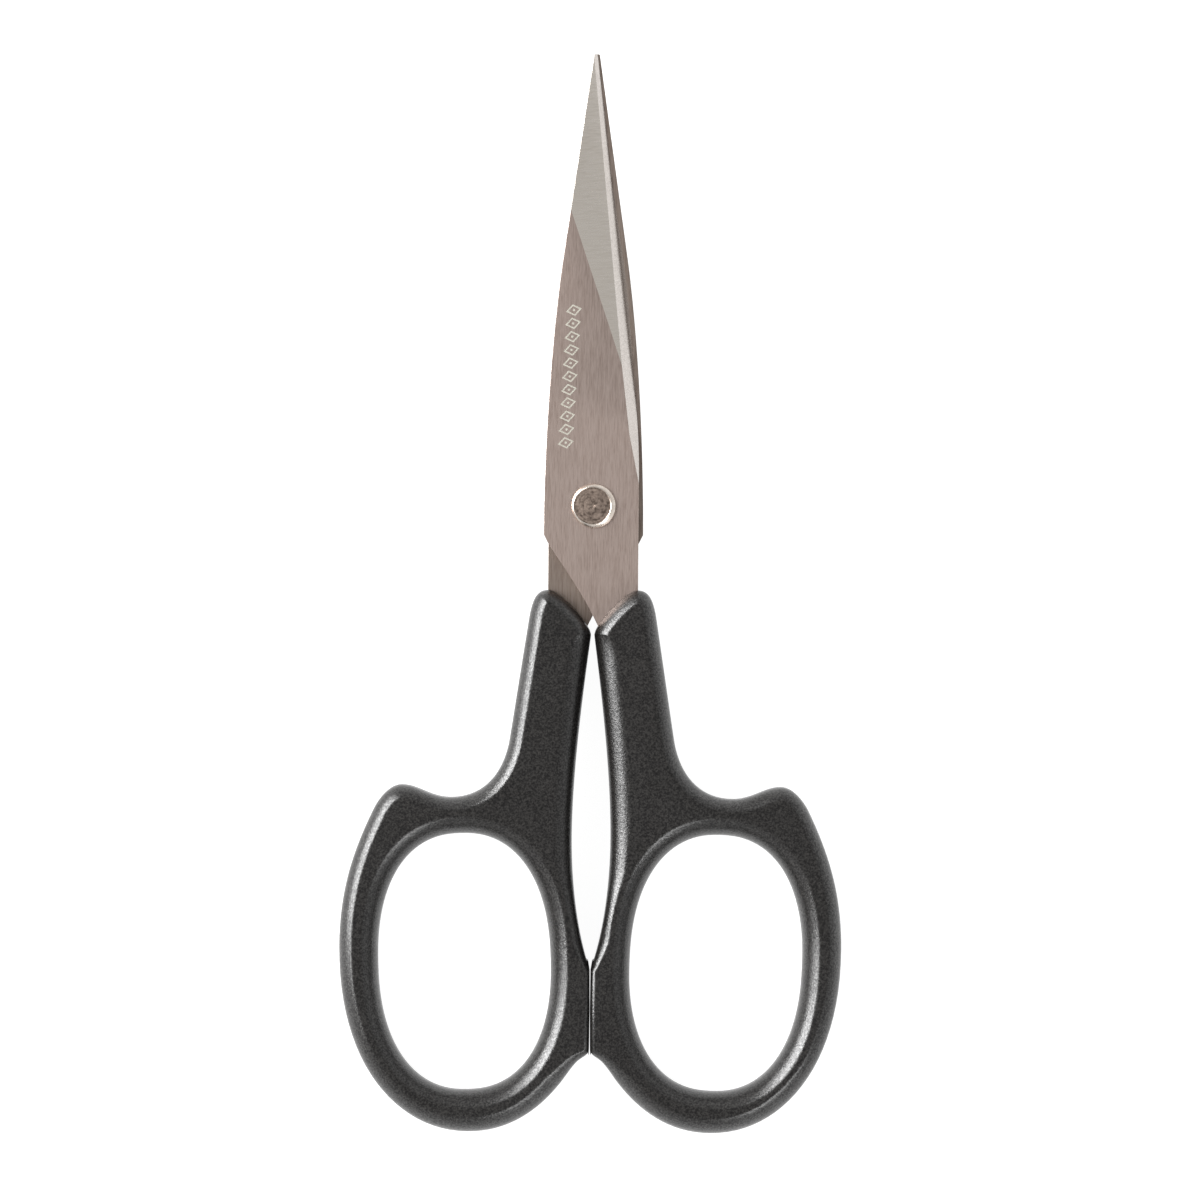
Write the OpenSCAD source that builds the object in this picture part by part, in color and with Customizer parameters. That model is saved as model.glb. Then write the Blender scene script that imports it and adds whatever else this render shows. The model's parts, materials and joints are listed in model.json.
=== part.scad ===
// Small fabric shears: two stamped stainless blades on a shouldered rivet,
// each with an over-moulded plastic handle. They lie closed and flat on z = 0,
// tips towards +Y. The outlines are drawn about the pivot and then moved, so
// that the origin is the middle of the whole length, on the table.

/* [Blades] */
// Distance from the pivot to the blade tips
blade_reach = 53.2; // [52:0.1:54]
// Thickness of the blade steel
blade_thickness = 1.6; // [1.4:0.05:1.8]
// Gap between the two blades' inner faces
blade_gap = 0.04; // [0.02:0.01:0.08]
// How far the spine stands out from the pivot
spine_side = 5.85; // [5.7:0.05:6]
// How far the straight shank of the edge side stands out from the pivot
edge_side = 5.3; // [5.2:0.05:5.4]
// Width of the blunt point
tip_width = 0.45; // [0.4:0.05:0.7]
// Fall of the ground point, as depth over distance
point_grind = 0.118; // [0.1:0.002:0.13]
// Width of the bright cutting bevel at full blade thickness
bevel_width = 1.2; // [1:0.05:1.4]

/* [Handles] */
// Distance from the pivot to the far end of the rings
ring_reach = 73.7; // [73:0.1:75]
// Thickness of the handles from face to face
handle_thickness = 8; // [7:0.1:9]
// Width of a finger hole
hole_width = 20.3; // [19.5:0.1:21]
// Length of a finger hole
hole_length = 30.2; // [29.5:0.1:31]
// Roundness of a finger hole: 2 is an ellipse, and more is squarer
hole_power = 2.3; // [2:0.05:2.6]
// Outward lean of a finger hole, in degrees
hole_lean = 2; // [0:0.1:3]
// Width of the rounded edge around a handle's outside
outer_round = 1.5; // [1:0.1:1.7]
// Width of the rounded edge around a finger hole
hole_round = 2; // [1:0.1:2.2]
// Gap between the two closing pads
pad_gap = 0.1; // [0.06:0.02:0.3]

/* [Pivot] */
// Diameter of the rivet's head
head_diameter = 5.2; // [5:0.1:5.6]
// Height of the head above the blade
head_height = 0.55; // [0.4:0.05:0.8]
// Width of the polished chamfer around the head
head_chamfer = 0.38; // [0.2:0.02:0.4]
// Diameter of the rivet's shank
shank_diameter = 3.2; // [3:0.1:3.6]
// Clearance around the shank in the blade that turns
running_clearance = 0.04; // [0.02:0.01:0.08]
// Diameter of the tail washer
washer_diameter = 5.6; // [5:0.1:6]
// Thickness of the tail washer
washer_thickness = 0.5; // [0.4:0.05:0.7]

/* [Hidden] */

pivot_y = (ring_reach - blade_reach) / 2;
middle_z = handle_thickness / 2;
inner_face = blade_gap / 2;
outer_face = inner_face + blade_thickness;
cut_over = 1;       // how far a cutting tool runs past what it cuts
far = 80;           // half the size of a block that covers a whole blade
fine = 64;          // $fn of the round parts

// Rivet tail: a tenon goes through the washer and is peened over it
tenon_radius = 1.3;
tail_radius = 2;
tail_height = 0.45;
end_play = 0.03;    // axial play of the turning blade over the washer

// Tang inside a handle: centre and half width at its root and at its end
tang_root = [3.75, -16.2];
tang_root_half = 2.1;
tang_end = [5.75, -29];
tang_end_half = 1.7;
tang_corner = 0.8;
lock_hole_radius = 1.1;
lock_holes = [[4.25, -19.5], [5.1, -25]];

// Curves ------------------------------------------------------------------

function bezier_point(a, b, c, d, t) =
    pow(1 - t, 3) * a + 3 * t * pow(1 - t, 2) * b + 3 * t * t * (1 - t) * c + t * t * t * d;

// Points of one curve from anchor a to anchor d, without the last. An anchor
// is [point, arm towards the previous anchor, arm towards the next one].
function curve(a, d, steps) =
    [for (i = [0:steps - 1])
        bezier_point(a[0], a[0] + a[2], d[0] + d[1], d[0], i / steps)];

// A closed outline through anchors, with as many steps as each one asks for
function closed_outline(anchors) =
    [for (i = [0:len(anchors) - 1])
        each curve(anchors[i], anchors[(i + 1) % len(anchors)], anchors[i][3])];

// Unit normal to the left of a closed outline at point i
function left_normal(points, i) =
    let (n = len(points), chord = points[(i + 1) % n] - points[(i + n - 1) % n])
    [-chord[1], chord[0]] / norm(chord);

function angle_of(line) = atan2(line[1][1] - line[0][1], line[1][0] - line[0][0]);

// Handle outline ----------------------------------------------------------

// About the pivot, anticlockwise from the lower end of the closing pad:
// [point, arm back, arm on, steps to the next anchor]
pad_x = pad_gap / 2;
handle_anchors = [
    [[pad_x, -63.8], [0, 1], [0, -0.5], 3],              // lower end of the pad
    [[0.85, -64.85], [-0.3, 0.15], [0.9, -0.5], 5],      // heel
    [[3.4, -67.9], [-0.9, 1.2], [2.5, -3.2], 8],         // where the ring takes over
    [[14.3, -ring_reach], [-4.9, 0], [8.4, 0], 12],      // far end of the ring
    [[29.53, -52], [0, -13.7], [0, 6], 9],               // widest point of the ring
    [[25.5, -35.6], [2.8, -5.7], [-0.75, 1.4], 6],       // outside of the finger rest
    [[22.3, -32.93], [1.3, 0], [-1.9, 0], 6],            // top of the finger rest
    [[16.6, -34.4], [2.4, 0], [-4, 0], 9],               // saddle
    [[9.63, -27.2], [0.6, -4.2], [-0.68, 4.4], 3],       // root of the shank
    [[7.5, -13.3], [0.7, -4.5], [-0.35, 2.1], 6],        // shoulder
    [[5.25, -9.9], [1.45, 0], [-1.3, 0], 9],             // nose over the blade
    [[0.45, -14.4], [0.9, 1.6], [-0.15, -0.3], 3],       // inner corner
    [[0.22, -15.4], [-0.05, 0.35], [0.9, -7], 9],        // top of the gap
    [[2.28, -39], [0, 7.5], [0, -6.5], 9],               // widest point of the gap
    [[pad_x, -54.7], [1.3, 3.9], [0, -1], 1]             // upper end of the pad
];
handle_outline = closed_outline(handle_anchors);

// Finger hole, as a leaning superellipse
hole_centre = [14.8, -53.7];
hole_steps = 56;

function superellipse(angle) =
    [for (v = [cos(angle), sin(angle)]) sign(v) * pow(abs(v), 2 / hole_power)];

function hole_point(angle) =
    let (s = superellipse(angle), x = s[0] * hole_width / 2, y = s[1] * hole_length / 2)
    hole_centre + [x * cos(hole_lean) + y * sin(hole_lean), y * cos(hole_lean) - x * sin(hole_lean)];

hole_outline = [for (i = [0:hole_steps - 1]) hole_point(i * 360 / hole_steps)];

// Rounded edges: [share of the edge's width, share of half the thickness]
edge_section = [[1, 1], [0.6, 0.9], [0.28, 0.73], [0.08, 0.5], [0, 0.24]];
last_step = len(edge_section) - 1;
levels = concat(edge_section, [for (i = [last_step:-1:0]) [edge_section[i][0], -edge_section[i][1]]]);

// The outer edge's rounding narrows towards the closing pad, which stays wide
pad_round = 0.35;
round_growth = 0.3;
function outer_round_at(p) = min(outer_round, pad_round + round_growth * p[0]);

function outer_ring(level) =
    [for (i = [0:len(handle_outline) - 1])
        let (p = handle_outline[i], inset = outer_round_at(p) * level[0])
        concat(p + left_normal(handle_outline, i) * inset, level[1] * middle_z)];

function hole_ring(level) =
    [for (i = [0:hole_steps - 1])
        let (p = hole_outline[i], outset = hole_round * level[0])
        concat(p - left_normal(hole_outline, i) * outset, level[1] * middle_z)];

// A closed skin over rings of equally many points, from the top one down
module skin(rings) {
    n = len(rings[0]);
    last = len(rings) - 1;
    sides = [for (k = [0:last - 1], i = [0:n - 1])
        [k * n + i, k * n + (i + 1) % n, (k + 1) * n + (i + 1) % n, (k + 1) * n + i]];
    top = [for (i = [n - 1:-1:0]) i];
    bottom = [for (i = [0:n - 1]) last * n + i];
    polyhedron([for (r = rings) each r], concat(sides, [top, bottom]));
}

// Blades --------------------------------------------------------------------

// Lines on the blade's faces where its ground planes begin
edge_line = [[0.12, blade_reach - 0.3], [4.75, 13.5]];
point_line = [[-2.83, 34.5], [2.82, 17.7]];
run_out_line = [[4.1, 8.6], [5.2, 3.1]];

// Corners of a blade's outline
edge_straight = [edge_side, 2.5];
spine_heel = [-spine_side, -3.4];
spine_full = [-spine_side, -2.9];
spine_straight = [-3.6, 30.4];
notch = [-5.4, -4.3];
tang_inner = [0.1, -13.1];
tip_spine_x = edge_line[0][0] - tip_width;

// Outline of one blade with its tang, clockwise from the point's edge side
blade_outline = concat(
    [[edge_line[0][0] - 0.1, blade_reach], edge_line[0]],
    curve([edge_line[1], [0, 0], [0.5, -4.5]], [edge_straight, [0, 3], [0, 0]], 8),
    [edge_straight, [edge_side, -13.5]],
    [tang_root + [tang_root_half, 0], tang_end + [tang_end_half, tang_corner]],
    [tang_end + [tang_end_half - tang_corner, 0], tang_end - [tang_end_half - tang_corner, 0]],
    [tang_end + [-tang_end_half, tang_corner], tang_root - [tang_root_half, 0]],
    [tang_inner],
    curve([tang_inner + [-0.1, 0.2], [0, 0], [-1.2, 2.6]], [notch, [1.5, -2.3], [0, 0]], 6),
    [notch, spine_heel],
    curve([spine_full, [0, 0], [0.05, 11.9]], [spine_straight, [-1.3, -8.5], [0, 0]], 14),
    [spine_straight, [tip_spine_x, blade_reach - 0.1], [tip_spine_x + 0.1, blade_reach]]
);

// All above a plane that starts at a line through point, drawn at angle
// direction and height z, and falls to the line's left
module above_plane(point, direction, z, fall) {
    translate([point[0], point[1], z])
        rotate([-fall, 0, direction])
            translate([-far, -far, 0])
                cube([2 * far, 2 * far, far]);
}

// The wide grind that thins the point
module point_cut() {
    above_plane(point_line[0], angle_of(point_line), outer_face, atan(point_grind));
}

// The cutting bevel, which runs out before the pivot
module bevel_cut() {
    bevel_angle = atan2(blade_thickness, bevel_width);
    intersection() {
        above_plane(edge_line[0], angle_of(edge_line), inner_face, bevel_angle);
        above_plane(run_out_line[0], angle_of(run_out_line), outer_face, bevel_angle);
    }
}

module blade_hole(point, radius) {
    translate([point[0], point[1], inner_face - cut_over])
        cylinder(r = radius, h = blade_thickness + 2 * cut_over, $fn = fine);
}

module blade(bore_radius) {
    difference() {
        translate([0, 0, inner_face])
            linear_extrude(blade_thickness)
                polygon(blade_outline);
        point_cut();
        bevel_cut();
        blade_hole([0, 0], bore_radius);
        for (p = lock_holes)
            blade_hole(p, lock_hole_radius);
    }
}

// Handles -------------------------------------------------------------------

// The moulding, with its finger hole and the pocket that holds the tang
module handle() {
    over = [0, 0, cut_over];
    top = hole_ring(levels[0]);
    bottom = hole_ring(levels[len(levels) - 1]);
    difference() {
        skin([for (l = levels) outer_ring(l)]);
        skin(concat(
            [[for (p = top) p + over]],
            [for (l = levels) hole_ring(l)],
            [[for (p = bottom) p - over]]));
        blade(shank_diameter / 2);
    }
}

// Sub-parts, in place -------------------------------------------------------

// From the pivot's frame to the model's
module at_pivot() {
    translate([0, pivot_y, middle_z])
        children();
}

// The back half is the front one turned over about the long axis
module turned_over() {
    rotate([0, 180, 0])
        children();
}

module front_blade() {
    color("silver")
        at_pivot()
            blade(shank_diameter / 2);
}

module back_blade() {
    color("silver")
        at_pivot()
            turned_over()
                blade(shank_diameter / 2 + running_clearance);
}

module right_handle() {
    color([0.2, 0.19, 0.18])
        at_pivot()
            handle();
}

module left_handle() {
    color([0.2, 0.19, 0.18])
        at_pivot()
            turned_over()
                handle();
}

module pivot_rivet() {
    head_radius = head_diameter / 2;
    head_top = outer_face + head_height;
    washer_top = -outer_face - end_play;
    tail_top = washer_top - washer_thickness;
    color("gainsboro")
        at_pivot()
            rotate_extrude($fn = fine)
                polygon([
                    [0, head_top],
                    [0, tail_top - tail_height],
                    [tail_radius * 0.6, tail_top - tail_height],
                    [tail_radius, tail_top - tail_height * 0.3],
                    [tail_radius, tail_top],
                    [tenon_radius, tail_top],
                    [tenon_radius, washer_top],
                    [shank_diameter / 2, washer_top],
                    [shank_diameter / 2, outer_face],
                    [head_radius, outer_face],
                    [head_radius, head_top - head_chamfer],
                    [head_radius - head_chamfer, head_top]
                ]);
}

module rivet_washer() {
    color("lightgray")
        at_pivot()
            translate([0, 0, -outer_face - end_play - washer_thickness])
                difference() {
                    cylinder(d = washer_diameter, h = washer_thickness, $fn = fine);
                    translate([0, 0, -cut_over])
                        cylinder(r = tenon_radius, h = washer_thickness + 2 * cut_over, $fn = fine);
                }
}

front_blade();
back_blade();
right_handle();
left_handle();
pivot_rivet();
rivet_washer();
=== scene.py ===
import json
import math

import bmesh
import bpy
from mathutils import Matrix, Vector


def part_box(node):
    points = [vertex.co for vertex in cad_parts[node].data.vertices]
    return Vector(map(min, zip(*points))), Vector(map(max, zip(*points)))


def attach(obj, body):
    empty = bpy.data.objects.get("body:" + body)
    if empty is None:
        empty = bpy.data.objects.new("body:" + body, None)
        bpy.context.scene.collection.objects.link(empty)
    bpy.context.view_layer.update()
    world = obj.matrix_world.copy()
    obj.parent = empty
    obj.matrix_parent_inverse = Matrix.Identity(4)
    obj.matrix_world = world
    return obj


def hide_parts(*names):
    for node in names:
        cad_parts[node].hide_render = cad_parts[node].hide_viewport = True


# Small fabric shears, lying closed: two stainless blades, a rivet with its
# washer, and two moulded handles. Everything is in metres, in the CAD frame.
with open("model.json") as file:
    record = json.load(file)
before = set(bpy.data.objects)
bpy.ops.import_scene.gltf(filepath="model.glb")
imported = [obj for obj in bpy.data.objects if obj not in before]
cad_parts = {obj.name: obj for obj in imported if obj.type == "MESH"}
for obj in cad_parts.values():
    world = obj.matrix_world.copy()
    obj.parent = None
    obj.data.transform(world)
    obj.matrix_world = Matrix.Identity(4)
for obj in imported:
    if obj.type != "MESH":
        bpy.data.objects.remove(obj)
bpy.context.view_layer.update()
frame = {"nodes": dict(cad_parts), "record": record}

MM = 0.001
TOUCH = 0.002 * MM        # points nearer than this are one point

# Places, from the frame ------------------------------------------------------
hinge = frame["record"]["behaviour"]["joints"][0]
PIVOT = Vector(hinge["pos_m"])
HANDLE_LOW, HANDLE_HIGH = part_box("right_handle")
BLADE_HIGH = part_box("front_blade")[1]
RIVET_LOW, RIVET_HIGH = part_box("pivot_rivet")
WASHER_LOW, WASHER_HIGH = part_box("rivet_washer")
TOP = HANDLE_HIGH.z
MIDDLE = (HANDLE_LOW.z + HANDLE_HIGH.z) / 2


# Small helpers ---------------------------------------------------------------
def linear(hex_colour):
    """An sRGB hex colour as the linear RGBA that shaders take."""
    parts = [int(hex_colour[i:i + 2], 16) / 255 for i in (1, 3, 5)]
    return [c / 12.92 if c <= 0.04045 else ((c + 0.055) / 1.055) ** 2.4 for c in parts] + [1]


def add(tree, kind, inputs=None, **settings):
    """Adds a shader node. Settings are its properties; inputs are values, or the sockets to link."""
    new = tree.nodes.new("ShaderNode" + kind)
    for name, value in settings.items():
        setattr(new, name, value)
    for key, value in (inputs or {}).items():
        if isinstance(value, bpy.types.NodeSocket):
            tree.links.new(value, new.inputs[key])
        else:
            new.inputs[key].default_value = value
    return new


def finish_piece(bm, name, body, stands_for, materials, smooth_angle):
    """Turns a bmesh into a piece that rides on a body and stands for CAD nodes."""
    mesh = bpy.data.meshes.new(name)
    for face in bm.faces:
        face.smooth = True
    bm.to_mesh(mesh)
    bm.free()
    mesh.set_sharp_from_angle(angle=math.radians(smooth_angle))
    for material in materials:
        mesh.materials.append(material)
    piece = bpy.data.objects.new(name, mesh)
    bpy.context.scene.collection.objects.link(piece)
    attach(piece, body)
    if stands_for:
        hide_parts(*stands_for)
    return piece


def turn_over(bm):
    """Turns a part over about the shears' long axis, as the back half is."""
    about = Matrix.Translation((0, 0, MIDDLE)) @ Matrix.Rotation(math.pi, 4, "Y")
    about = about @ Matrix.Translation((0, 0, -MIDDLE))
    bmesh.ops.transform(bm, matrix=about, verts=bm.verts)


# Materials -------------------------------------------------------------------
def new_material(name):
    material = bpy.data.materials.new(name)
    material.use_nodes = True
    tree = material.node_tree
    return material, tree, tree.nodes["Principled BSDF"]


def moulded_plastic():
    """Black ABS from a spark-eroded mould. Its even grain breaks the sheen on the rounded
    edges into sparkle, and keeps the flat faces a dull, slightly speckled black."""
    material, tree, shader = new_material("moulded black ABS")
    place = add(tree, "TexCoord").outputs["Object"]
    grain_size = 0.22 * MM      # drawn about twice as coarse as the real grain, to show
    grain_depth = 0.03 * MM
    smudge_size = 7 * MM        # where fingers have rubbed the grain
    grain = add(tree, "TexNoise", {"Vector": place, "Scale": 1 / grain_size, "Detail": 2,
                                   "Roughness": 0.7})
    smudge = add(tree, "TexNoise", {"Vector": place, "Scale": 1 / smudge_size, "Detail": 3})
    bump = add(tree, "Bump", {"Height": grain.outputs["Fac"], "Strength": 1,
                              "Distance": grain_depth})
    colour = add(tree, "ValToRGB", {"Fac": grain.outputs["Fac"]})
    colour.color_ramp.elements[0].position = 0.4
    colour.color_ramp.elements[0].color = linear("#090808")
    colour.color_ramp.elements[1].position = 0.68
    colour.color_ramp.elements[1].color = linear("#1d1b19")
    gloss = add(tree, "MapRange", {"Value": grain.outputs["Fac"], "From Min": 0.38,
                                   "From Max": 0.64, "To Min": 0.34, "To Max": 0.8})
    rough = add(tree, "MapRange", {"Value": smudge.outputs["Fac"], "From Min": 0.3,
                                   "From Max": 0.7, "To Min": 0.26, "To Max": 0.32})
    tree.links.new(bump.outputs[0], shader.inputs["Normal"])
    tree.links.new(colour.outputs[0], shader.inputs["Base Color"])
    tree.links.new(gloss.outputs[0], shader.inputs["Specular IOR Level"])
    tree.links.new(rough.outputs[0], shader.inputs["Roughness"])
    shader.inputs["IOR"].default_value = 1.5
    return material


SCRATCH_DEPTH = 0.02 * MM     # of the deepest scratches
DRIFT = 0.08                  # how far the ground surface's tone drifts, as a share
GLOSS_SPREAD = 0.05           # how far roughness varies from scratch to scratch


def ground_steel(name, colours, roughness, turn, spacing, length, depth):
    """Steel with the fine straight scratches of a grinding belt or wheel, which the eye
    sees as streaks of slightly different tone and gloss.

    turn is the angle in degrees of the scratches from the blade's length; spacing and
    length are a scratch's, several times the real ones so that they show; and depth is
    how strongly they catch light."""
    material, tree, shader = new_material(name)
    place = add(tree, "TexCoord").outputs["Object"]
    laid = add(tree, "Mapping", {"Vector": place, "Rotation": (0, 0, math.radians(turn))})
    fine = add(tree, "Mapping", {"Vector": laid.outputs[0],
                                 "Scale": (1 / spacing, 1 / length, 1 / spacing)})
    broad = add(tree, "Mapping", {"Vector": laid.outputs[0],
                                  "Scale": (0.5 / length, 0.2 / length, 0.5 / length)})
    scratches = add(tree, "TexNoise", {"Vector": fine.outputs[0], "Scale": 1, "Detail": 2,
                                       "Roughness": 0.6})
    drift = add(tree, "TexNoise", {"Vector": broad.outputs[0], "Scale": 1, "Detail": 1})
    shade = add(tree, "MapRange", {"Value": drift.outputs["Fac"], "To Min": -DRIFT,
                                   "To Max": DRIFT})
    both = add(tree, "Math", {0: scratches.outputs["Fac"], 1: shade.outputs[0]},
               operation="ADD")
    share = add(tree, "MapRange", {"Value": both.outputs[0], "From Min": 0.3, "From Max": 0.7})
    colour = add(tree, "ValToRGB", {"Fac": share.outputs[0]})
    colour.color_ramp.elements[0].color = linear(colours[0])
    colour.color_ramp.elements[1].color = linear(colours[1])
    rough = add(tree, "MapRange", {"Value": share.outputs[0],
                                   "To Min": roughness + GLOSS_SPREAD,
                                   "To Max": roughness - GLOSS_SPREAD})
    bump = add(tree, "Bump", {"Height": scratches.outputs["Fac"], "Strength": depth,
                              "Distance": SCRATCH_DEPTH})
    tree.links.new(colour.outputs[0], shader.inputs["Base Color"])
    tree.links.new(rough.outputs[0], shader.inputs["Roughness"])
    tree.links.new(bump.outputs[0], shader.inputs["Normal"])
    shader.inputs["Metallic"].default_value = 1
    return material


def belt_ground_flat():
    """Stainless strip, belt-ground lengthwise: a warm satin with fine long streaks."""
    return ground_steel("belt-ground stainless steel", ("#96867e", "#cab8af"), roughness=0.38,
                        turn=0, spacing=0.15 * MM, length=1.8 * MM, depth=0.2)


def cross_ground_point():
    """The point, thinned across its width on a fine wheel: paler, with faint cross lines."""
    return ground_steel("wheel-ground stainless steel", ("#d6cec4", "#f6eee4"), roughness=0.3,
                        turn=86, spacing=0.2 * MM, length=8 * MM, depth=0.02)


def cutting_bevel():
    """The honed bevel: the smoothest surface of a blade, an even and bright line."""
    return ground_steel("honed stainless steel", ("#aea8a3", "#bdb7b2"), roughness=0.24,
                        turn=74, spacing=0.2 * MM, length=2 * MM, depth=0.02)


def stamped_edge():
    """The blanked and tumbled edge of the strip: darker, dull and almost without streaks."""
    return ground_steel("blanked stainless steel edge", ("#8a8079", "#9d938c"),
                        roughness=0.42, turn=0, spacing=0.3 * MM, length=0.6 * MM, depth=0.08)


def inner_flat_and_painted_shade():
    """The inner face's land, rough-ground once. It is darker than the outer face partly from that
    finish and partly from painted shade, standing in for the shadow of the other blade lying over
    it.
    """
    # darker colours: partly the rougher grind, partly painted shade from the blade above
    return ground_steel("rough-ground stainless steel with painted shade", ("#7a6d65", "#a3958b"), roughness=0.4,
                        turn=0, spacing=0.15 * MM, length=2.4 * MM, depth=0.2)


def hollow_face():
    """The inner face's hollow, ground across on a large wheel: smooth, with cross lines."""
    return ground_steel("hollow-ground stainless steel", ("#9a8e86", "#b8aca3"),
                        roughness=0.3, turn=72, spacing=0.2 * MM, length=7 * MM, depth=0.06)


def etched_steel():
    """Acid-etched steel: finely pitted, so it looks pale and dull from every side."""
    material, tree, shader = new_material("etched stainless steel")
    place = add(tree, "TexCoord").outputs["Object"]
    pit_size, pit_depth = 0.2 * MM, 0.02 * MM       # coarser than real pits, to show
    frost = add(tree, "TexNoise", {"Vector": place, "Scale": 1 / pit_size, "Detail": 2})
    colour = add(tree, "ValToRGB", {"Fac": frost.outputs["Fac"]})
    colour.color_ramp.elements[0].color = linear("#a39f92")
    colour.color_ramp.elements[1].color = linear("#d3d0c6")
    bump = add(tree, "Bump", {"Height": frost.outputs["Fac"], "Strength": 0.5,
                              "Distance": pit_depth})
    tree.links.new(colour.outputs[0], shader.inputs["Base Color"])
    tree.links.new(bump.outputs[0], shader.inputs["Normal"])
    shader.inputs["Metallic"].default_value = 1
    shader.inputs["Roughness"].default_value = 0.5
    return material


def spun_rivet_face():
    """Rivet steel dulled by the spinning tool: dark, with faint broken rings and pits."""
    material, tree, shader = new_material("spun rivet steel")
    ring_spacing = 0.22 * MM    # this and the pits are coarser than real ones, to show
    pit_size, pit_depth = 0.3 * MM, 0.03 * MM
    place = add(tree, "TexCoord").outputs["Object"]
    about = add(tree, "Mapping", {"Vector": place, "Location": (-PIVOT.x, -PIVOT.y, -MIDDLE)})
    axes = add(tree, "SeparateXYZ", {"Vector": about.outputs[0]})
    radius = add(tree, "VectorMath", {0: about.outputs[0]}, operation="LENGTH")
    turn = add(tree, "Math", {0: axes.outputs["Y"], 1: axes.outputs["X"]}, operation="ARCTAN2")
    rings = add(tree, "Math", {0: radius.outputs["Value"], 1: 1 / ring_spacing},
                operation="MULTIPLY")
    east = add(tree, "Math", {0: turn.outputs[0]}, operation="COSINE")
    north = add(tree, "Math", {0: turn.outputs[0]}, operation="SINE")
    swept = add(tree, "CombineXYZ", {"X": rings.outputs[0], "Y": east.outputs[0],
                                     "Z": north.outputs[0]})
    arcs = add(tree, "TexNoise", {"Vector": swept.outputs[0], "Scale": 1.3, "Detail": 2})
    pits = add(tree, "TexNoise", {"Vector": place, "Scale": 1 / pit_size, "Detail": 3})
    both = add(tree, "Math", {0: arcs.outputs["Fac"], 1: pits.outputs["Fac"]}, operation="ADD")
    share = add(tree, "MapRange", {"Value": both.outputs[0], "From Min": 0.75, "From Max": 1.25})
    colour = add(tree, "ValToRGB", {"Fac": share.outputs[0]})
    colour.color_ramp.elements[0].color = linear("#574c45")
    colour.color_ramp.elements[1].color = linear("#9a8a7f")
    bump = add(tree, "Bump", {"Height": both.outputs[0], "Strength": 0.6,
                              "Distance": pit_depth})
    tree.links.new(colour.outputs[0], shader.inputs["Base Color"])
    tree.links.new(bump.outputs[0], shader.inputs["Normal"])
    shader.inputs["Metallic"].default_value = 1
    shader.inputs["Roughness"].default_value = 0.45
    return material


def polished_rivet():
    """The rivet's turned and polished chamfer: bright, with a soft mirror of the lamps."""
    return ground_steel("polished rivet steel", ("#c9beb3", "#ded5cc"), roughness=0.25,
                        turn=45, spacing=0.5 * MM, length=0.8 * MM, depth=0.04)


def plated_washer():
    """Zinc-plated mild steel: a cooler, greyer metal than the stainless round it."""
    return ground_steel("zinc-plated steel", ("#a9a8a6", "#c4c3c1"), roughness=0.38,
                        turn=20, spacing=0.4 * MM, length=0.7 * MM, depth=0.1)


# Handles -----------------------------------------------------------------------
OUTER_ROUND = 1.5 * MM        # width of the rounded edge round a handle's outside,
RING_ROUND = 1.8 * MM         # at the end of its ring,
GAP_ROUND = 2.4 * MM          # along the gap between the handles,
PAD_ROUND = 0.5 * MM          # and at the closing pad, which stays wide
HOLE_ROUND = 2 * MM           # and round its finger hole
CREST = math.radians(26)      # slope at which a rounded edge meets the flat face,
GAP_CREST = math.radians(5)   # and along the gap
SOFT_CREST = 0.2 * MM         # width of the softened line there
RIDGE = 0.15 * MM             # least width of the flat between two rounded edges
SECTION_STEPS = 8             # rings in the rounded edge,
SHALLOW_BIAS = 1.2            # a little closer together towards the crest
PARTING = 0.05 * MM           # depth and half width of the mould's parting line
NOSE_CORNER = 14.9 * MM       # from the pivot down to the inner corner of the nose
NOSE_RUN = 2.5 * MM           # below it, the length over which the gap's rounding grows
GAP_SIDE = 2.5 * MM           # the gap's side of a handle is within this of the middle
GAP_SIDE_FADE = 0.7 * MM      # and its rounding fades out over this much more
GAP_FROM = 8 * MM             # above the pad, where the gap's rounding starts
GAP_FULL = 17 * MM            # and where it has its full width
RING_FROM = 2 * MM            # below the pad, where the ring's rounding starts
RING_FULL = 5 * MM            # and where it has its full width
GROWTH_ACROSS = 0.2           # how fast the rounding widens away from the middle
GROWTH_ALONG = 0.12           # and away from the pad's ends
UNCROSSED = 0.993             # a moved point this share of its move from the loop is clear
FLUSH = math.radians(1)       # faces that meet at less than this are one flat face
STRAIGHT_WALL = 0.3           # the CAD wall's straight part ends within this half-height share
PAD_DEPTH = 0.05 * MM         # points this near to a handle's inmost side are its pad


def level_loops(node_name, height):
    """The closed loops of a CAD node's edges that lie at one height, the longest first."""
    bm = bmesh.new()
    bm.from_mesh(frame["nodes"][node_name].data)
    bmesh.ops.remove_doubles(bm, verts=bm.verts, dist=TOUCH)
    level = [e for e in bm.edges if e.calc_face_angle(0) > FLUSH
             and all(abs(v.co.z - height) < TOUCH for v in e.verts)]
    bm.edges.index_update()
    left, loops = set(level), []
    while left:
        first = min(left, key=lambda e: e.index)
        left.discard(first)
        loop = [first.verts[0], first.verts[1]]
        while True:
            onward = [e for e in loop[-1].link_edges if e in left]
            if not onward:
                break
            left.discard(onward[0])
            loop.append(onward[0].other_vert(loop[-1]))
        loops.append([v.co.xy.copy() for v in loop[:-1]])
    bm.free()
    return sorted(loops, key=lambda loop: max((p - loop[0]).length for p in loop), reverse=True)


def smoother(loop):
    """A closed loop with a point added between each two, by the four-point rule for curves."""
    n, fuller = len(loop), []
    for i, point in enumerate(loop):
        near = point + loop[(i + 1) % n]
        far = loop[i - 1] + loop[(i + 2) % n]
        fuller += [point, near * 9 / 16 - far / 16]
    return fuller


def leftward(loop):
    """Unit normals to the left of a closed loop's points."""
    normals = []
    for i in range(len(loop)):
        along = loop[(i + 1) % len(loop)] - loop[i - 1]
        normals.append(Vector((-along.y, along.x)).normalized())
    return normals


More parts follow.
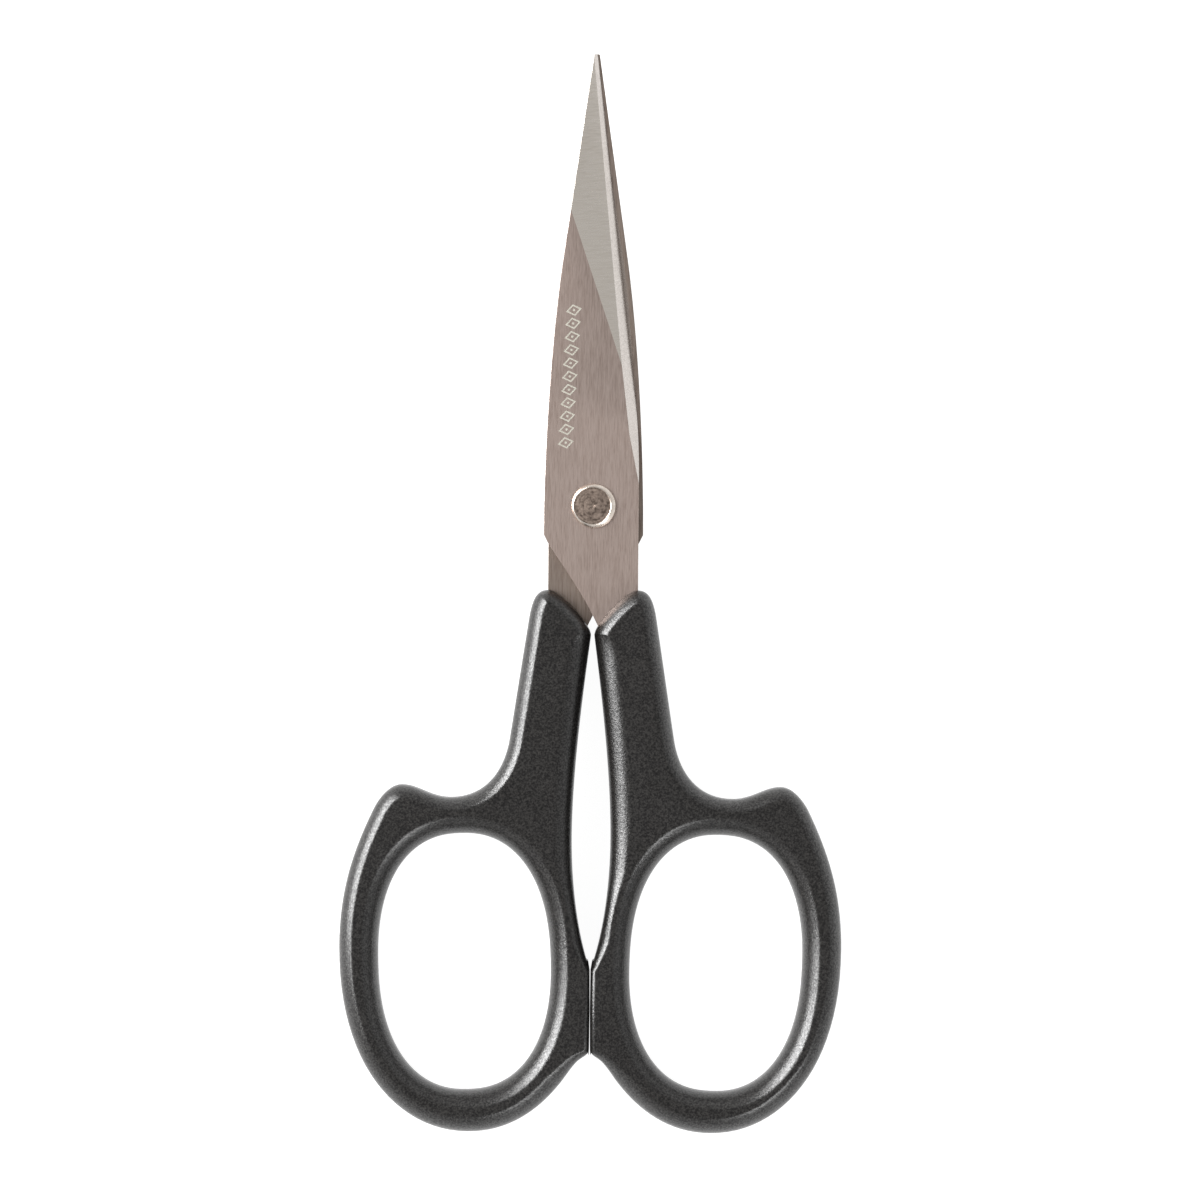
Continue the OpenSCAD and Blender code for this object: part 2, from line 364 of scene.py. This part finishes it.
def counterclockwise(loop):
    area = sum(a.cross(b) for a, b in zip(loop, loop[1:] + loop[:1]))
    return loop if area > 0 else loop[::-1]


def distance_to(loop, point):
    """Distance from a point to a closed loop."""
    best = 1.0
    for a, b in zip(loop, loop[1:] + loop[:1]):
        along = b - a
        share = max(0, min(1, (point - a).dot(along) / along.length_squared))
        best = min(best, (a + along * share - point).length)
    return best


def moved_in(loop, normals, widths):
    """A loop moved along its normals. Where it would cross itself, in a tight corner,
    the crossed stretch closes up to a point."""
    moved = [p + n * w for p, n, w in zip(loop, normals, widths)]
    clear = [distance_to(loop, q) > w * UNCROSSED - TOUCH for q, w in zip(moved, widths)]
    n = len(loop)
    for i in range(n):
        if clear[i]:
            continue
        before = next(k for k in range(1, n) if clear[i - k])
        after = next(k for k in range(1, n) if clear[(i + k) % n])
        moved[i] = (moved[i - before] + moved[(i + after) % n]) / 2
    return moved


def ramp(value, start, end):
    """0 at start, 1 at end, and straight between."""
    return max(0, min(1, (value - start) / (end - start)))


def outer_section(p, hole, pad_low, pad_high):
    """Width of the rounded edge at a point of a handle's outline, and its slope at the crest."""
    gap = ramp(p.x, GAP_SIDE + GAP_SIDE_FADE, GAP_SIDE)
    gap *= ramp(p.y, pad_high + GAP_FROM, pad_high + GAP_FULL)
    gap *= ramp(p.y, PIVOT.y - NOSE_CORNER, PIVOT.y - NOSE_CORNER - NOSE_RUN)
    ring = ramp(p.y, pad_low - RING_FROM, pad_low - RING_FULL)
    full = OUTER_ROUND + gap * (GAP_ROUND - OUTER_ROUND) + ring * (RING_ROUND - OUTER_ROUND)
    past = max(0, pad_low - p.y, p.y - pad_high)
    narrow = PAD_ROUND + GROWTH_ACROSS * abs(p.x) + GROWTH_ALONG * past
    room = distance_to(hole, p) - HOLE_ROUND - 2 * SOFT_CREST - RIDGE
    return min(full, narrow, room), CREST + gap * (GAP_CREST - CREST)


def raise_wall(bm, loop, sections, side):
    """Builds a wall from the parting line up over its rounded edge to the flat face.
    sections gives each point's width and crest slope; side is 1 where the material
    lies to the left of the loop and -1 on its right."""
    station = bm.verts.layers.int.get("station") or bm.verts.layers.int.new("station")
    normals = [n * side for n in leftward(loop)]
    widths = [w for w, crest in sections]
    crests = [crest for w, crest in sections]
    reach = [w / (1 - math.sin(crest)) for w, crest in sections]
    ring = []
    for i, (p, n) in enumerate(zip(loop, normals)):
        start = p + n * PARTING
        ring.append(bm.verts.new((start.x, start.y, MIDDLE)))
        ring[i][station] = i
    edges = [bm.edges.new((ring[i - 1], ring[i])) for i in range(len(ring))]

    steps = [(loop, [MIDDLE + PARTING] * len(loop))]
    for k in range(SECTION_STEPS + 1):
        upright = (1 - k / SECTION_STEPS) ** SHALLOW_BIAS
        slopes = [c + (math.pi / 2 - c) * upright for c in crests]
        inward = moved_in(loop, normals, [r * (1 - math.sin(a)) for r, a in zip(reach, slopes)])
        heights = [TOP - r * (math.cos(c) - math.cos(a))
                   for r, c, a in zip(reach, crests, slopes)]
        steps.append((inward, heights))
    crest = moved_in(loop, normals, [w + SOFT_CREST for w in widths])
    steps.append((crest, [TOP] * len(loop)))

    for points, heights in steps:
        made = bmesh.ops.extrude_edge_only(bm, edges=edges)["geom"]
        edges = [g for g in made if isinstance(g, bmesh.types.BMEdge)]
        for vert in [g for g in made if isinstance(g, bmesh.types.BMVert)]:
            i = vert[station]
            vert.co = (points[i].x, points[i].y, heights[i])


def handle(name, body, node_name, over, material):
    """One moulded handle with its finger hole, both faces alike about the parting line."""
    ring_height = min(v.co.z for v in frame["nodes"]["right_handle"].data.vertices
                      if v.co.z > MIDDLE - STRAIGHT_WALL * (TOP - MIDDLE))
    outline, hole = level_loops("right_handle", ring_height)[:2]
    outline = smoother(counterclockwise(outline))
    hole = smoother(counterclockwise(hole))
    pad_x = min(p.x for p in outline)
    pad = [p.y for p in outline if p.x < pad_x + PAD_DEPTH]

    bm = bmesh.new()
    sections = [outer_section(p, hole, min(pad), max(pad)) for p in outline]
    raise_wall(bm, outline, sections, 1)
    raise_wall(bm, hole, [(HOLE_ROUND, CREST)] * len(hole), -1)
    bmesh.ops.remove_doubles(bm, verts=bm.verts, dist=TOUCH)
    rims = [e for e in bm.edges if e.is_boundary and e.verts[0].co.z > TOP - TOUCH]
    bmesh.ops.triangle_fill(bm, edges=rims, use_beauty=True, normal=(0, 0, 1))
    bmesh.ops.mirror(bm, geom=bm.verts[:] + bm.edges[:] + bm.faces[:],
                     matrix=Matrix.Translation((0, 0, -MIDDLE)), merge_dist=TOUCH, axis="Z")
    bmesh.ops.remove_doubles(bm, verts=bm.verts, dist=TOUCH)
    bmesh.ops.recalc_face_normals(bm, faces=bm.faces)
    if over:
        turn_over(bm)
    return finish_piece(bm, name, body, [node_name], [material],
                        smooth_angle=50)


# Blades --------------------------------------------------------------------------
EDGE_BREAK = 0.05 * MM        # the tumbled edges of the stamping
HOLLOW_FROM = 6 * MM          # where the inner face's hollow starts and ends,
HOLLOW_TO = 46 * MM           # from the pivot
HOLLOW_LAND = 0.5 * MM        # width of the flat land round it
HOLLOW_SLOPE = 0.25 * MM      # width of the slope down into it
HOLLOW_DEPTH = 0.05 * MM
HOLLOW_STATIONS = 24
HOLLOW_TIP = 0.02             # its width at its very ends, as a share of its full width
HOLLOW_ROUNDNESS = 0.3        # of its ends, where nearer 0 is squarer
BORE_SIDES = 64
BORE_FACE = 0.9999            # least upright share of the normal of a face that is drilled,
FLAT_FACE = 0.9995            # of an outer or inner flat,
POINT_FACE = 0.97             # of the cross-ground point
BEVEL_FACE = 0.3              # and of the bevel
SAME_PLANE = math.radians(0.1)
EDGE_TURN = math.radians(20)    # edges that turn more than this are broken,
KEEN_TURN = math.radians(100)   # but a bevel's that turns more than this stays keen

FLAT, POINT, BEVEL, EDGE, INNER, HOLLOW = range(6)


def zone(face, outward):
    """Which ground surface of a blade a face belongs to."""
    up = face.normal.z * outward
    if up > FLAT_FACE:
        return FLAT
    if up < -FLAT_FACE:
        return INNER
    if up > POINT_FACE:
        return POINT
    if up > BEVEL_FACE:
        return BEVEL
    return EDGE


def without_holes(bm, holes):
    """Closes a blade's drilled holes and joins the flat faces round them."""
    for centre, radius in holes:
        walls = [f for f in bm.faces
                 if all(abs((v.co.xy - centre).length - radius) < 4 * TOUCH for v in f.verts)]
        bmesh.ops.delete(bm, geom=walls, context="FACES")
    rims = [e for e in bm.edges if e.is_boundary]
    bmesh.ops.holes_fill(bm, edges=rims, sides=0)
    bmesh.ops.dissolve_limit(bm, angle_limit=SAME_PLANE, verts=bm.verts, edges=bm.edges)


def width_at(border, y):
    """The lowest and highest x of a border's edges where they cross a height y."""
    crossings = []
    for edge in border:
        a, b = (v.co for v in edge.verts)
        if (a.y - y) * (b.y - y) < 0:
            crossings.append(a.x + (b.x - a.x) * (y - a.y) / (b.y - a.y))
    return min(crossings), max(crossings)


def hollow_ring(bm, border, level, land):
    """A closed ring on a blade's inner face, round-ended, inside a land of the given width."""
    left, right = [], []
    start, end = HOLLOW_FROM + land, HOLLOW_TO - land
    for i in range(HOLLOW_STATIONS + 1):
        angle = math.pi * i / HOLLOW_STATIONS
        y = PIVOT.y + start + (end - start) * (1 - math.cos(angle)) / 2
        low, high = width_at(border, y)
        fullness = HOLLOW_TIP + (1 - HOLLOW_TIP) * math.sin(angle) ** HOLLOW_ROUNDNESS
        middle, half = (low + high) / 2, ((high - low) / 2 - land) * fullness
        left.append((middle - half, y, level))
        right.append((middle + half, y, level))
    ring = [bm.verts.new(place) for place in right + left[::-1]]
    return [bm.edges.new((ring[i - 1], ring[i])) for i in range(len(ring))]


def drill_and_hollow(bm, radius, outward):
    """Cuts the rivet's bore through a blade's flat faces, and sinks the inner face's hollow."""
    bore = []
    bm.normal_update()
    for up in (1, -1):
        flats = [f for f in bm.faces if f.normal.z * up > BORE_FACE
                 and min(v.co.y for v in f.verts) < PIVOT.y < max(v.co.y for v in f.verts)]
        flat = max(flats, key=lambda f: f.calc_area())
        level, border, ground = flat.verts[0].co.z, flat.edges[:], flat.material_index
        bmesh.ops.delete(bm, geom=[flat], context="FACES_ONLY")
        made = bmesh.ops.create_circle(bm, segments=BORE_SIDES, radius=radius,
                                       matrix=Matrix.Translation((PIVOT.x, PIVOT.y, level)))
        rim = list({e for v in made["verts"] for e in v.link_edges})
        bore += rim
        if up != outward:
            brow = hollow_ring(bm, border, level, HOLLOW_LAND)
            bed = hollow_ring(bm, border, level - up * HOLLOW_DEPTH, HOLLOW_LAND + HOLLOW_SLOPE)
            sunk = bmesh.ops.bridge_loops(bm, edges=brow + bed)["faces"]
            sunk += bmesh.ops.contextual_create(bm, geom=bed)["faces"]
            for face in sunk:
                face.material_index = HOLLOW
            rim = rim + brow
        filled = bmesh.ops.triangle_fill(bm, edges=border + rim, use_beauty=True,
                                         normal=(0, 0, up))["geom"]
        for face in [g for g in filled if isinstance(g, bmesh.types.BMFace)]:
            face.material_index = ground
    bmesh.ops.bridge_loops(bm, edges=bore)
    bmesh.ops.recalc_face_normals(bm, faces=bm.faces)


def blade(name, body, node_name, outward, materials):
    """A blade from its CAD shape, with broken edges and a hollow inner face.
    outward is 1 for the blade whose outer face is up, and -1 for the other."""
    holes = []
    for loop in level_loops(node_name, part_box(node_name)[1].z)[1:]:
        centre = sum(loop, Vector((0, 0))) / len(loop)
        holes.append((centre, (loop[0] - centre).length))
    bore = min(holes, key=lambda hole: (hole[0] - PIVOT.xy).length)[1]

    bm = bmesh.new()
    bm.from_mesh(frame["nodes"][node_name].data)
    bmesh.ops.remove_doubles(bm, verts=bm.verts, dist=TOUCH)
    without_holes(bm, holes)
    bm.normal_update()
    for face in bm.faces:
        face.material_index = zone(face, outward)
    broken = []
    for edge in bm.edges:
        turn = edge.calc_face_angle(0)
        zones = [f.material_index for f in edge.link_faces]
        cutting = BEVEL in zones and turn > KEEN_TURN
        if turn > EDGE_TURN and not cutting:
            broken.append(edge)
    bmesh.ops.bevel(bm, geom=broken, offset=EDGE_BREAK, offset_type="OFFSET", segments=2,
                    profile=0.5, affect="EDGES", clamp_overlap=True, material=-1)
    drill_and_hollow(bm, bore, outward)
    return finish_piece(bm, name, body, [node_name], materials,
                        smooth_angle=12)


def etched_mark(material):
    """A plain etched border, of lozenges with a dot in each, along the front blade's spine."""
    count = 11
    start, end = Vector((-2.5, 23.0)) * MM, Vector((-3.35, 7.4)) * MM     # from the pivot
    lean = math.radians(12)
    half_width, half_height, line = 0.95 * MM, 0.7 * MM, 0.17 * MM
    dot, proud = 0.15 * MM, 0.012 * MM
    bm = bmesh.new()
    for i in range(count):
        centre = start.lerp(end, i / (count - 1))
        place = Matrix.Translation((centre.x + PIVOT.x, centre.y + PIVOT.y, BLADE_HIGH.z))
        place = place @ Matrix.Rotation(lean, 4, "Z")
        lozenge = bmesh.ops.create_circle(
            bm, cap_ends=True, segments=4, radius=1,
            matrix=place @ Matrix.Diagonal((half_width, half_height, 1, 1)))
        face = lozenge["verts"][0].link_faces[0]
        bmesh.ops.inset_region(bm, faces=[face], thickness=line, use_boundary=True,
                               use_even_offset=True)
        bmesh.ops.delete(bm, geom=[face], context="FACES_ONLY")
        bmesh.ops.create_circle(bm, cap_ends=True, segments=12, radius=dot, matrix=place)
    solid = bmesh.ops.extrude_face_region(bm, geom=bm.faces[:])
    risen = [g for g in solid["geom"] if isinstance(g, bmesh.types.BMVert)]
    bmesh.ops.translate(bm, verts=risen, vec=(0, 0, proud))
    bmesh.ops.recalc_face_normals(bm, faces=bm.faces)
    return finish_piece(bm, "etched_mark", "front_half", [], [material],
                        smooth_angle=30)


# Rivet and washer -------------------------------------------------------------------
SHANK, TENON, TAIL = 1.6 * MM, 1.3 * MM, 2 * MM      # radii of the rivet below its head
CHAMFER = 0.38 * MM
SPUN_DEPTH = 0.15 * MM        # the spun face lies within this of the head's top,
SPUN_RIM = 0.05 * MM          # ends this far inside the chamfer
OFF_CENTRE = Vector((-0.15 * MM, 0.02 * MM, 0))      # and is a little off centre


def turned(bm, profile, steps=96):
    """Spins a profile of radius and height pairs about the pivot's axis."""
    verts = [bm.verts.new((PIVOT.x + r, PIVOT.y, z)) for r, z in profile]
    edges = [bm.edges.new(pair) for pair in zip(verts, verts[1:])]
    bmesh.ops.spin(bm, geom=verts + edges, cent=(PIVOT.x, PIVOT.y, 0), axis=(0, 0, 1),
                   angle=2 * math.pi, steps=steps, use_merge=True)
    bmesh.ops.remove_doubles(bm, verts=bm.verts, dist=TOUCH / 2)
    bmesh.ops.recalc_face_normals(bm, faces=bm.faces)


def pivot_rivet(spun, polished):
    """The rivet: a chamfered head with a dull centre, its shank, and a peened tail."""
    head = (RIVET_HIGH.x - RIVET_LOW.x) / 2
    top, low = RIVET_HIGH.z, RIVET_LOW.z
    disc = head - CHAMFER
    bm = bmesh.new()
    turned(bm, [            # radius and height, from the head's centre down to the tail's
        (0, top - 0.10 * MM),
        (0.22 * MM, top - 0.09 * MM),
        (0.4 * MM, top - 0.04 * MM),
        (0.55 * MM, top - 0.06 * MM),
        (disc - 0.12 * MM, top - 0.08 * MM),
        (disc - 0.04 * MM, top - 0.02 * MM),
        (disc, top),
        (disc + 0.05 * MM, top - 0.01 * MM),
        (disc + 0.09 * MM, top - 0.04 * MM),
        (head - 0.07 * MM, top - 0.24 * MM),
        (head - 0.02 * MM, top - 0.3 * MM),
        (head, top - CHAMFER),
        (head, BLADE_HIGH.z),
        (SHANK, BLADE_HIGH.z),
        (SHANK, WASHER_HIGH.z),
        (TENON, WASHER_HIGH.z),
        (TENON, WASHER_LOW.z),
        (TAIL - 0.02 * MM, WASHER_LOW.z),
        (TAIL, WASHER_LOW.z - 0.08 * MM),
        (TAIL * 0.9, low + 0.17 * MM),
        (TAIL * 0.72, low + 0.06 * MM),
        (TAIL * 0.45, low + 0.01 * MM),
        (TAIL * 0.2, low),
        (0, low),
    ])
    for face in bm.faces:
        centre = face.calc_center_median()
        radius = (centre.xy - PIVOT.xy).length
        on_disc = centre.z > BLADE_HIGH.z and radius < disc - SPUN_RIM
        on_tail = centre.z < WASHER_LOW.z
        face.material_index = 0 if on_disc or on_tail else 1
    raised = [v for v in bm.verts if v.co.z > top - SPUN_DEPTH]
    bmesh.ops.translate(bm, verts=raised, vec=OFF_CENTRE)
    return finish_piece(bm, "rivet", "front_half", ["pivot_rivet"],
                        [spun, polished], smooth_angle=30)


def washer(material):
    """The flat washer that the rivet's tail is peened over, with its edges broken."""
    outer = (WASHER_HIGH.x - WASHER_LOW.x) / 2
    high, low, edge = WASHER_HIGH.z, WASHER_LOW.z, 0.07 * MM
    bm = bmesh.new()
    turned(bm, [(TENON, low), (outer - edge, low), (outer, low + edge), (outer, high - edge),
                (outer - edge, high), (TENON, high), (TENON, low)])
    return finish_piece(bm, "washer", "front_half", ["rivet_washer"],
                        [material], smooth_angle=30)


# Build ----------------------------------------------------------------------------------
plastic = moulded_plastic()
handle("handle_right", "front_half", "right_handle", over=False, material=plastic)
handle("handle_left", "back_half", "left_handle", over=True, material=plastic)
steels = [belt_ground_flat(), cross_ground_point(), cutting_bevel(), stamped_edge(),
          inner_flat_and_painted_shade(), hollow_face()]
blade("blade_front", "front_half", "front_blade", outward=1, materials=steels)
blade("blade_back", "back_half", "back_blade", outward=-1, materials=steels)
etched_mark(etched_steel())
pivot_rivet(spun_rivet_face(), polished_rivet())
washer(plated_washer())


# Floor, light and camera ----------------------------------------------------------------
FLOOR_REACH = 2.5
FLOOR_DROP = 0.01 * MM        # below the shears' underside
FLOOR_GLOW = 0.95             # of the light table, where 1 is white


def floor():
    """The plain white sheet of a light table, which the shears lie on."""
    bm = bmesh.new()
    bmesh.ops.create_grid(bm, x_segments=1, y_segments=1, size=FLOOR_REACH,
                          matrix=Matrix.Translation((0, 0, -FLOOR_DROP)))
    mesh = bpy.data.meshes.new("floor")
    bm.to_mesh(mesh)
    bm.free()
    material, _, shader = new_material("white card")
    shader.inputs["Base Color"].default_value = linear("#808080")
    shader.inputs["Roughness"].default_value = 0.9
    shader.inputs["Emission Color"].default_value = linear("#ffffff")
    shader.inputs["Emission Strength"].default_value = FLOOR_GLOW
    mesh.materials.append(material)
    sheet = bpy.data.objects.new("floor", mesh)
    bpy.context.scene.collection.objects.link(sheet)


LAMP_DISTANCE = 1.0


def soft_box(name, direction, size, power):
    """A square soft light that looks at the shears from a direction."""
    lamp = bpy.data.lights.new(name, "AREA")
    lamp.size = size
    lamp.energy = power
    box = bpy.data.objects.new(name, lamp)
    box.location = Vector(direction).normalized() * LAMP_DISTANCE
    box.rotation_euler = (-box.location).to_track_quat("-Z", "Y").to_euler()
    bpy.context.scene.collection.objects.link(box)


HORIZON, OVERHEAD = 1.1, 0.42     # brightness of the studio's walls and ceiling


def room():
    """A white studio: bright towards the horizon and dimmer overhead."""
    world = bpy.data.worlds.new("studio")
    world.use_nodes = True
    tree = world.node_tree
    background = tree.nodes["Background"]
    up = add(tree, "SeparateXYZ", {"Vector": add(tree, "TexCoord").outputs["Generated"]})
    share = add(tree, "ValToRGB", {"Fac": up.outputs["Z"]})
    share.color_ramp.elements[0].position = 0.1
    share.color_ramp.elements[0].color = (HORIZON, HORIZON, HORIZON, 1)
    share.color_ramp.elements[1].position = 0.9
    share.color_ramp.elements[1].color = (OVERHEAD, OVERHEAD, OVERHEAD, 1)
    tree.links.new(share.outputs[0], background.inputs["Color"])
    bpy.context.scene.world = world


FRAME_WIDTH = 139.2 * MM      # width of the view at the shears
CAMERA_HEIGHT = 1.2
CAMERA_ROLL = 0.45            # degrees


def camera():
    """Straight above, with a long lens."""
    eye = bpy.data.cameras.new("camera")
    eye.lens = eye.sensor_width * (CAMERA_HEIGHT - TOP) / FRAME_WIDTH
    eye.clip_end = 10
    above = bpy.data.objects.new("camera", eye)
    above.location = (0, 0, CAMERA_HEIGHT)
    above.rotation_euler = (0, 0, math.radians(CAMERA_ROLL))
    bpy.context.scene.collection.objects.link(above)
    bpy.context.scene.camera = above


floor()
room()
soft_box("key_light", (-1, 0.4, 0.62), size=0.8, power=35)
soft_box("fill_light", (0.8, -1.1, 1.0), size=0.45, power=4.5)
camera()
bpy.context.scene.view_settings.view_transform = "Standard"
